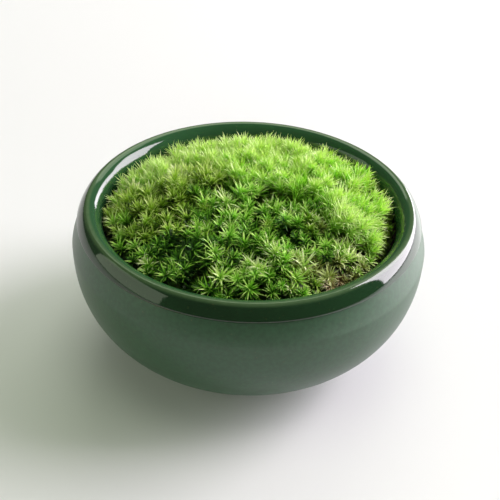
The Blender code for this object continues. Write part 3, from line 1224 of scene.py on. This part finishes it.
@dataclass(frozen=True)
class LeafSpiral:
    """How leaves go up a shoot: by the golden angle, from wide ones at its foot to steep ones.

    Each bends away from the shoot towards its tip, and the lower leaves are painted darker as
    shade, the top ones lighter. A pair of numbers is a random range.
    """

    guide: Color = (0.31, 0.95, 0.0)
    tilt_power: float = 1.4
    tilt_spread: float = 0.20
    lengths: Point = (0.72, 1.12)
    widths: Point = (0.75, 1.20)
    arches: Point = (0.3, 1.6)
    sway: float = 0.16
    pale_gain: float = 0.90
    pale_power: float = 3.0
    pale_base: float = 0.26
    # how much darker a shoot's lower leaves are painted, as shade, and lighter its top ones
    painted_shade_by_height: float = 0.74
    top_middle: float = 0.56
    darkest: float = 0.03
    palest: float = 0.97

    def build(self, graph: Growth, shoots: Wire) -> Wire:
        """Set a point for each leaf, with its turn, size, bend and shade.

        Args:
            graph: the tree.
            shoots: the shoots' points.

        Returns:
            The leaves' points.
        """
        given = graph.given
        seed = given.output("Seed")
        points = graph.node("GeometryNodeMeshToPoints", inputs={"Mesh": shoots})
        leaves = graph.node("GeometryNodeDuplicateElements", {"domain": "POINT"},
                            {"Geometry": points, "Amount": given.output("Leaves")})
        number = leaves.output("Duplicate Index")
        share = (number + 0.5) / given.output("Leaves")
        axis = graph.read("axis", "FLOAT_VECTOR")
        vigour = graph.read("vigour")
        turn = number * GOLDEN_ANGLE + graph.read("phase")
        right = graph.vector("NORMALIZE", graph.vector("CROSS_PRODUCT", axis, self.guide))
        front = graph.vector("CROSS_PRODUCT", axis, right)
        out = right * graph.math("COSINE", turn) + front * graph.math("SINE", turn)
        low, high = given.output("Low Angle"), given.output("High Angle")
        tilt = low + (high - low) * share ** self.tilt_power
        tilt = tilt + graph.random(-self.tilt_spread, self.tilt_spread, seed + 1)
        heading = out * graph.math("COSINE", tilt) + axis * graph.math("SINE", tilt)
        face = axis * graph.math("COSINE", tilt) - out * graph.math("SINE", tilt)
        side = graph.vector("CROSS_PRODUCT", heading, face)

        length = given.output("Leaf Length") * vigour * graph.random(*self.lengths, seed + 2)
        girth = graph.read("girth") * graph.random(*self.widths, seed + 3)
        width = given.output("Leaf Width") * girth
        arch = given.output("Arch") * graph.random(*self.arches, seed + 4)
        bend = side * graph.random(-self.sway, self.sway, seed + 5) - face * arch
        pale = graph.random(0.0, 1.0, seed + 6) ** self.pale_power
        pale = self.pale_gain * pale - self.pale_base
        # Lower leaves are painted darker as shade, and top ones lighter as light.
        shade = graph.read("shade") + self.painted_shade_by_height * (share - self.top_middle) + pale
        shade = graph.math("MINIMUM", graph.math("MAXIMUM", shade, self.darkest), self.palest)
        up = axis * (given.output("Stem") * share * vigour)

        leaves = graph.store(leaves, "bend", bend * length, "FLOAT_VECTOR")
        leaves = graph.store(leaves, "leaf_shade", shade)
        aligned = graph.node("FunctionNodeAxesToRotation",
                             {"primary_axis": "Z", "secondary_axis": "Y"}, {0: heading, 1: face})
        leaves = graph.store(leaves, "turn", aligned, "QUATERNION")
        leaves = graph.store(leaves, "size", graph.combine(width, width, length), "FLOAT_VECTOR")
        return graph.node("GeometryNodeSetPosition", inputs={"Geometry": leaves, "Offset": up})


@dataclass
class MossBed:
    """The dome of moss. Its form repeats the frame's clumps, whose copies lie under the leaves."""

    bowl: Bowl
    # the dome and its hummocks
    radius: float = 0.0446
    edge_height: float = 0.0489
    rise: float = 0.0092
    dome_power: float = 2.3
    hummock_width: float = 0.017
    hummock_height: float = 0.0007
    hummock_bend: float = 3.0
    hummock_bend_rate: float = 60.0
    soil_height: float = 0.0430
    # the shoots' places, sizes and lean
    tries: int = 12000
    vigour_range: Point = (0.80, 1.14)
    least_vigour: float = 0.4
    girth_range: Point = (0.85, 1.15)
    straw_girth: float = 0.6
    tuft_girth: float = 1.40
    shade_spread: float = 0.09
    height_spread: float = 0.00072
    border_width: float = 0.0160
    crease_width: float = 0.0030
    crease_depth: float = 0.0014
    clump_lean: float = 22.5
    dome_lean: float = 0.475
    loose_lean: float = 0.19
    # hues, sunk shoots painted darker as shade in the gaps, and the clusters that share a shade
    patch_hold: float = 1.6
    straw_share: float = 0.22
    stray_share: float = 0.30
    olive_stray_share: float = 0.09
    sunk_share: float = 0.24
    sunk_depth: float = 0.0020
    sunk_painted_shade: float = 0.32
    cluster_rate: float = 190.0
    cluster_shade: float = 0.74
    cluster_lift: float = 0.0028
    cluster_slice: float = 0.01
    # the leaves' map, and the pads under them, near black as humus and as painted shade
    map_width: float = 0.012
    pad_share: float = 0.50
    humus_and_shade_rates: Point = (900.0, 500.0)
    humus_and_shade_share: float = 0.4
    mottle_rates: Point = (1300.0, 700.0)
    mottle_share: float = 0.46
    root_gap: float = 0.0002
    wall_gap: float = 0.0003
    seed: int = 23
    blade: Blade = Blade()
    spiral: LeafSpiral = LeafSpiral()

    def tip_height(self, spot: Vector, lift: float) -> float:
        """Height of the leaf tips: the dome, with low hummocks.

        Args:
            spot: the place on the plan.
            lift: how far its clump stands up.

        Returns:
            The height.
        """
        share = min(1.0, spot.length / self.radius)
        dome = self.edge_height + self.rise * (1.0 - share ** self.dome_power)
        bend_x = self.hummock_bend * math.sin(self.hummock_bend_rate * spot.y)
        bend_y = self.hummock_bend * math.sin(self.hummock_bend_rate * spot.x)
        wave = math.sin(math.tau * spot.x / self.hummock_width + bend_x)
        cross_wave = math.sin(math.tau * spot.y / self.hummock_width + bend_y)
        return dome + lift + self.hummock_height * wave * cross_wave

    @staticmethod
    def ranked(spot: Vector) -> list[tuple[float, int]]:
        """The clumps' distances and indices, from the nearest to a spot to the farthest."""
        return sorted(((clump.middle - spot).length, index) for index, clump in enumerate(CLUMPS))

    def spots(self, draw: random.Random) -> list[Vector]:
        """Choose where the shoots stand.

        Args:
            draw: the random draw.

        Returns:
            The tufts' places, and then random ones no nearer than their clump's spacing.
        """
        made = [Vector((tuft.x, tuft.y)) for tuft in TUFTS]
        for _ in range(self.tries):
            distance, angle = self.radius * math.sqrt(draw.random()), draw.uniform(0, math.tau)
            spot = distance * Vector((math.cos(angle), math.sin(angle)))
            space = CLUMPS[self.ranked(spot)[0][1]].habit.spacing
            if all((spot - other).length_squared > space * space for other in made):
                made.append(spot)
        return made

    def hue(self, ranks: list[tuple[float, int]], patches: Sequence[tuple[float, Patch]],
            draw: random.Random) -> Hue:
        """Choose a shoot's hue.

        Args:
            ranks: the clumps by distance.
            patches: the patches that reach the shoot, with their weights.
            draw: the random draw.

        Returns:
            A patch's hue, or a near clump's: near a border either clump's hue may come up.
        """
        for weight, patch in patches:
            if patch.hue and draw.random() < self.patch_hold * weight:
                straw = patch.hue is Hue.DRY and draw.random() < self.straw_share
                return Hue.STRAW if straw else patch.hue
        margin = ranks[1][0] - ranks[0][0]
        crossed = draw.random() < 0.5 * max(0.0, 1.0 - margin / self.border_width)
        stray = draw.random()
        if stray < self.stray_share:
            return Hue.OLIVE if stray < self.olive_stray_share else Hue.BRIGHT
        return CLUMPS[ranks[1 if crossed else 0][1]].habit.hue

    def lean(self, spot: Vector, clump: Clump, draw: random.Random) -> Vector:
        """Point a shoot away from its clump's middle and the dome's, with the clump's sweep.

        Args:
            spot: where it stands on the plan.
            clump: its clump.
            draw: the random draw.

        Returns:
            Its axis, of unit length.
        """
        out = self.clump_lean * (spot - clump.middle)
        out += self.dome_lean * spot * spot.length_squared / self.radius ** 3
        out += Vector(clump.sweep)
        out += Vector((draw.gauss(0, self.loose_lean), draw.gauss(0, self.loose_lean)))
        return Vector((out.x, out.y, 1.0)).normalized()

    def shoot(self, spot: Vector, tuft: Optional[Tuft],
              draw: random.Random) -> tuple[int, Optional[Shoot]]:
        """Make one shoot.

        Args:
            spot: where it stands on the plan.
            tuft: the tuft that it is, if it is one.
            draw: the random draw.

        Returns:
            The index of its clump, and the shoot, or None where a patch leaves the moss bare.
        """
        ranks = self.ranked(spot)
        index = ranks[0][1]
        clump = CLUMPS[index]
        habit = clump.habit
        patches = [(patch.weight(spot), patch) for patch in PATCHES if patch.weight(spot) > 0.0]
        hue = self.hue(ranks, patches, draw)
        vigour = draw.uniform(*self.vigour_range)
        vigour += sum(weight * patch.vigour for weight, patch in patches)
        cluster = noise.noise(Vector((spot.x, spot.y, self.cluster_slice)) * self.cluster_rate)
        shade = habit.shade + self.cluster_shade * cluster + draw.gauss(0, self.shade_spread)
        shade += sum(weight * patch.shade for weight, patch in patches)
        if tuft:
            vigour, shade, hue = tuft.vigour, tuft.shade, Hue.BRIGHT
        if vigour < self.least_vigour:
            return index, None

        margin = ranks[1][0] - ranks[0][0]
        top = self.tip_height(spot, clump.lift) + draw.gauss(0, self.height_spread)
        top -= self.crease_depth * max(0.0, 1.0 - margin / self.crease_width)
        top += sum(weight * patch.lift for weight, patch in patches) + self.cluster_lift * cluster
        # Sunk shoots stand lower and are painted darker, as shade in the gaps.
        if not tuft and draw.random() < self.sunk_share:
            top -= self.sunk_depth
            shade -= self.sunk_painted_shade
        ground = self.soil_height + self.root_gap
        vigour = min(vigour, (top - ground - self.root_gap) / habit.reach)
        axis = self.lean(spot, clump, draw)
        root = Vector((spot.x, spot.y, top)) - axis * habit.reach * vigour
        root.z = max(root.z, ground)
        girth = self.straw_girth if hue is Hue.STRAW else draw.uniform(*self.girth_range)
        girth *= self.tuft_girth if tuft else 1.0
        phase = draw.uniform(0, math.tau)
        return index, Shoot(root, axis, vigour, girth, shade, float(hue.value), phase)

    def leaf_tree(self) -> NodeTree:
        """Make the Geometry Nodes that grow leaves on shoots.

        The mesh that they start from holds a clump's pad and, as loose points, its shoots.

        Returns:
            The tree.
        """
        sizes = ("Stem", "Leaf Length", "Leaf Width", "Low Angle", "High Angle", "Arch")
        graph = Growth("moss_leaves", {"Clump": "Geometry", "Leaves": "Int",
                                       **dict.fromkeys(sizes, "Float"), "Seed": "Int",
                                       "Finish": "Material"})
        is_shoot = graph.math("GREATER_THAN", graph.read("vigour"), 0.0)
        parted = graph.node("GeometryNodeSeparateGeometry", {"domain": "POINT"},
                            {"Geometry": graph.given, "Selection": is_shoot})
        copies = graph.node("GeometryNodeInstanceOnPoints", inputs={
            "Points": self.spiral.build(graph, parted), "Instance": self.blade.build(graph),
            "Rotation": graph.read("turn", "QUATERNION"),
            "Scale": graph.read("size", "FLOAT_VECTOR")})
        solid = graph.node("GeometryNodeRealizeInstances", inputs={"Geometry": copies})
        along = graph.read("along")
        bend = graph.read("bend", "FLOAT_VECTOR") * along ** 2
        solid = graph.node("GeometryNodeSetPosition", inputs={"Geometry": solid, "Offset": bend})
        column = graph.read("hue") + MAP_MARGIN + (1.0 - 2.0 * MAP_MARGIN) * along
        level = graph.read("leaf_shade") + self.map_width * graph.read("across")
        on_map = graph.combine(column / len(Hue), level)
        leaves = graph.store(solid, UV_MAP, on_map, "FLOAT2", "CORNER")

        # The pads take the near-black column: humus, and painted shade under the leaves.
        x, y, z = graph.parts(graph.node("GeometryNodeInputPosition"))
        (rate_x, rate_z), (rate_y, cross_rate) = self.humus_and_shade_rates, self.mottle_rates
        humus_and_shade = 0.5 + self.humus_and_shade_share * graph.math("SINE", rate_x * x + rate_z * z)
        level = 0.5 + self.mottle_share * graph.math("SINE", rate_y * y + cross_rate * x)
        on_map = graph.combine(humus_and_shade / len(Hue), level)
        pad = graph.store(parted.output("Inverted"), UV_MAP, on_map, "FLOAT2", "CORNER")
        return graph.end(graph.together(leaves, pad))

    def pad(self, node: str) -> bmesh.types.BMesh:
        """Make the moss's dense inside from a clump's node.

        Args:
            node: the clump's node.

        Returns:
            A low copy of its mesh, with its doubles merged.
        """
        bm = bmesh.new()
        bm.from_mesh(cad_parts[node].data)
        bmesh.ops.remove_doubles(bm, verts=bm.verts, dist=TOUCHING)
        foot = min(vertex.co.z for vertex in bm.verts)
        for vertex in bm.verts:
            vertex.co.z = foot + self.pad_share * (vertex.co.z - foot)
        return bm

    def seedbed(self, node: str, shoots: Sequence[Shoot]) -> Mesh:
        """Make a mesh of a clump's pad, and its shoots as loose points that hold their facts.

        Args:
            node: the clump's node.
            shoots: its shoots.

        Returns:
            The mesh.
        """
        bm = self.pad(node)
        layers = bm.verts.layers
        kinds = {"axis": layers.float_vector}
        made = {fact: kinds.get(fact, layers.float).new(fact) for fact in SHOOT_FACTS}
        for shoot in shoots:
            point = bm.verts.new(shoot.root)
            for fact, layer in made.items():
                point[layer] = getattr(shoot, fact)
        mesh = bpy.data.meshes.new(node)
        bm.to_mesh(mesh)
        bm.free()
        mesh.materials.clear()
        return mesh

    def keep_clear(self, mesh: Mesh) -> None:
        """Draw in what would cross the bowl's wall, and lift what would cross the soil.

        Args:
            mesh: a clump's mesh, which is changed.
        """
        places = np.empty(3 * len(mesh.vertices), dtype=np.float32)
        mesh.vertices.foreach_get("co", places)
        places = places.reshape(-1, 3)
        places[:, 2] = np.maximum(places[:, 2], self.soil_height + self.wall_gap)
        radius = np.hypot(places[:, 0], places[:, 1])
        below_top = places[:, 2] < self.bowl.place(*self.bowl.rim_top)[1]
        most = np.where(below_top, self.bowl.inner_radius(places[:, 2]) - self.wall_gap, 1.0)
        over = radius > most
        places[over, :2] *= (most[over] / radius[over])[:, None]
        mesh.vertices.foreach_set("co", places.ravel())
        mesh.update()

    def clump(self, index: int, shoots: Sequence[Shoot], tree: NodeTree,
              finish: Material) -> Object:
        """Grow one clump as a piece that stands for its node.

        Args:
            index: its place in the row of clumps.
            shoots: its shoots.
            tree: the leaves' Geometry Nodes.
            finish: its material.

        Returns:
            The piece.
        """
        node = f"moss_clump_{index + 1:02d}"
        habit = CLUMPS[index].habit
        item = grow(new_piece(f"moss_leaves_{index + 1:02d}", self.seedbed(node, shoots)), tree, {
            "Leaves": habit.leaves, "Stem": habit.stem, "Leaf Length": habit.leaf_length,
            "Leaf Width": habit.leaf_width, "Low Angle": habit.low_angle,
            "High Angle": habit.high_angle, "Arch": habit.arch, "Seed": self.seed + 10 * index,
            "Finish": finish})
        for fact in SHOOT_FACTS + LEAF_FACTS:
            if fact in item.data.attributes:
                item.data.attributes.remove(item.data.attributes[fact])
        item.data.uv_layers[UV_MAP].active_render = True
        self.keep_clear(item.data)
        return settle(item, habit.finish.slot, node)

    def build(self) -> list[Object]:
        """Grow every clump.

        Returns:
            The clumps' pieces.
        """
        draw = random.Random(self.seed)
        groups: list[list[Shoot]] = [[] for _ in CLUMPS]
        for number, spot in enumerate(self.spots(draw)):
            tuft = TUFTS[number] if number < len(TUFTS) else None
            index, shoot = self.shoot(spot, tuft, draw)
            if shoot:
                groups[index].append(shoot)
        LOG.info("moss: %d shoots", sum(len(group) for group in groups))
        tree = self.leaf_tree()
        kinds = dict.fromkeys(clump.habit.finish for clump in CLUMPS)
        looks = {kind: kind.material() for kind in kinds}
        return [self.clump(index, shoots, tree, looks[CLUMPS[index].habit.finish])
                for index, shoots in enumerate(groups)]


class Reach(Enum):
    """What a light counts for: all that it meets, rough surfaces alone, or reflections alone."""

    ALL = (True, True)
    LIT = (True, False)
    MIRRORED = (False, True)


@dataclass(frozen=True)
class Panel:
    """A soft light: its place, what it faces, its width and height, its brightness and its tint."""

    name: str
    place: tuple[float, float, float]
    aim: tuple[float, float, float]
    size: Point
    brightness: float
    tint: Color
    reach: Reach = Reach.ALL

    def build(self) -> Object:
        """Place the light.

        Returns:
            The light, which the camera doesn't see.
        """
        light = bpy.data.lights.new(self.name, "AREA")
        light.shape = "RECTANGLE"
        light.size, light.size_y = self.size
        light.energy = self.brightness * math.pi * self.size[0] * self.size[1]
        light.color = self.tint
        item = bpy.data.objects.new(self.name, light)
        item.location = self.place
        item.visible_camera = False
        item.visible_diffuse, item.visible_glossy = self.reach.value
        item.visible_transmission = item.visible_diffuse
        away = Vector(self.place) - Vector(self.aim)
        item.rotation_euler = away.to_track_quat("Z", "Y").to_euler()
        bpy.context.scene.collection.objects.link(item)
        return item


DAY = (0.985, 0.915, 1.0)
INDOORS = (0.890, 1.0, 0.760)
GLOW = (0.920, 1.0, 0.940)
PANELS = (
    Panel("window_near", (1.50, 0.55, 0.97), (0.0, 0.55, 0.97), (1.20, 1.84), 10.0, DAY),
    Panel("window_far", (1.50, 2.10, 0.51), (0.0, 2.10, 0.51), (1.90, 0.92), 9.2, DAY),
    Panel("window_top", (1.50, 0.55, 2.30), (0.0, 0.55, 2.30), (1.20, 0.80), 2.0, DAY, Reach.LIT),
    Panel("window_back", (0.60, 2.40, 0.60), (0.60, 0.0, 0.60), (1.40, 0.92), 3.4, DAY, Reach.LIT),
    Panel("ceiling", (0.0, 0.0, 2.20), (0.0, 0.0, 0.0), (1.60, 1.60), 1.2, INDOORS, Reach.LIT),
    Panel("back_wall", (0.20, 1.60, 1.80), (0.0, 0.0, 0.0), (1.60, 0.90), 2.0, INDOORS),
    Panel("front_wall", (-0.10, -2.20, 0.72), (-0.1, 0.0, 0.72), (2.20, 0.76), 2.0, INDOORS,
          Reach.LIT),
    Panel("table_glow", (0.32, 0.08, 0.002), (0.32, 0.08, 1.0), (0.44, 0.56), 1.15, GLOW,
          Reach.MIRRORED),
    Panel("left_wall", (-2.00, -0.55, 0.80), (0.0, -0.55, 0.80), (2.10, 1.50), 1.15, INDOORS),
)


@dataclass
class Studio:
    """A pale floor, soft lights, a little light all round, and the camera."""

    bowl: Bowl
    distance: float = 0.330
    pitch: float = math.radians(35.08)
    roll: float = math.radians(2.136)
    focal_px: float = 1047.6
    frame_px: float = 500.0
    belly_px: Point = (248.94, 232.95)
    sensor_mm: float = 36.0
    clip: Point = (0.01, 20.0)
    floor_size: float = 6.0
    floor_cells: int = 8
    room_light: float = 0.12
    finish: FloorFinish = FloorFinish()

    @property
    def target(self) -> Vector:
        """The middle of the belly's plane, which the view was measured from."""
        return Vector((0.0, 0.0, self.bowl.belly_height))

    def floor(self) -> Object:
        """Make the tabletop that the bowl stands on.

        Returns:
            The floor, as part of the stage.
        """
        cells = self.floor_cells
        bm = bmesh.new()
        bmesh.ops.create_grid(bm, x_segments=cells, y_segments=cells, size=0.5 * self.floor_size)
        mesh = bpy.data.meshes.new("floor")
        bm.to_mesh(mesh)
        bm.free()
        item = new_piece("floor", mesh)
        mesh.materials.append(self.finish.material())
        return item

    def surroundings(self) -> None:
        """The room's dim light from all round."""
        world = bpy.data.worlds.new("room")
        world.use_nodes = True
        graph = Graph(world.node_tree)
        inputs = {"Color": INDOORS, "Strength": self.room_light}
        sky = graph.node("ShaderNodeBackground", inputs=inputs)
        graph.node("ShaderNodeOutputWorld", inputs={"Surface": sky})
        bpy.context.scene.world = world

    def camera(self) -> Object:
        """Set the camera at the photograph's angle, with the belly where it is there.

        Returns:
            The camera.
        """
        data = bpy.data.cameras.new("camera")
        data.sensor_width = self.sensor_mm
        data.lens = self.focal_px * data.sensor_width / self.frame_px
        data.clip_start, data.clip_end = self.clip
        back = Vector((0.0, -math.cos(self.pitch), math.sin(self.pitch)))
        up = Vector((0.0, math.sin(self.pitch), math.cos(self.pitch)))
        right = Vector((1.0, 0.0, 0.0))
        leaned_right = right * math.cos(self.roll) + up * math.sin(self.roll)
        leaned_up = up * math.cos(self.roll) - right * math.sin(self.roll)
        middle = 0.5 * self.frame_px
        across = math.atan((middle - self.belly_px[0]) / self.focal_px)
        down = math.atan((middle - self.belly_px[1]) / self.focal_px)
        turn = Matrix.Rotation(-down, 3, leaned_right) @ Matrix.Rotation(-across, 3, leaned_up)
        axes = (turn @ leaned_right, turn @ leaned_up, turn @ back)
        matrix = Matrix(axes).transposed().to_4x4()
        matrix.translation = self.target + back * self.distance
        item = bpy.data.objects.new("camera", data)
        item.matrix_world = matrix
        bpy.context.scene.collection.objects.link(item)
        bpy.context.scene.camera = item
        return item

    def build(self) -> None:
        """Set the stage, the lights and the camera."""
        self.camera()
        self.floor()
        for panel in PANELS:
            panel.build()
        self.surroundings()
        view = bpy.context.scene.view_settings
        view.view_transform = "Standard"
        LOG.info("studio: %d lights", len(PANELS))


def main() -> None:
    """Build the pieces in order, from the bowl to the stage."""
    logging.basicConfig(level=logging.INFO, format="%(name)s: %(message)s")
    low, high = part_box("bowl")
    bowl = Bowl(belly_radius=0.5 * (high.x - low.x))
    bowl.build()
    Soil(bowl).build()
    MossBed(bowl).build()
    Studio(bowl).build()


if __name__ == "__main__":
    main()
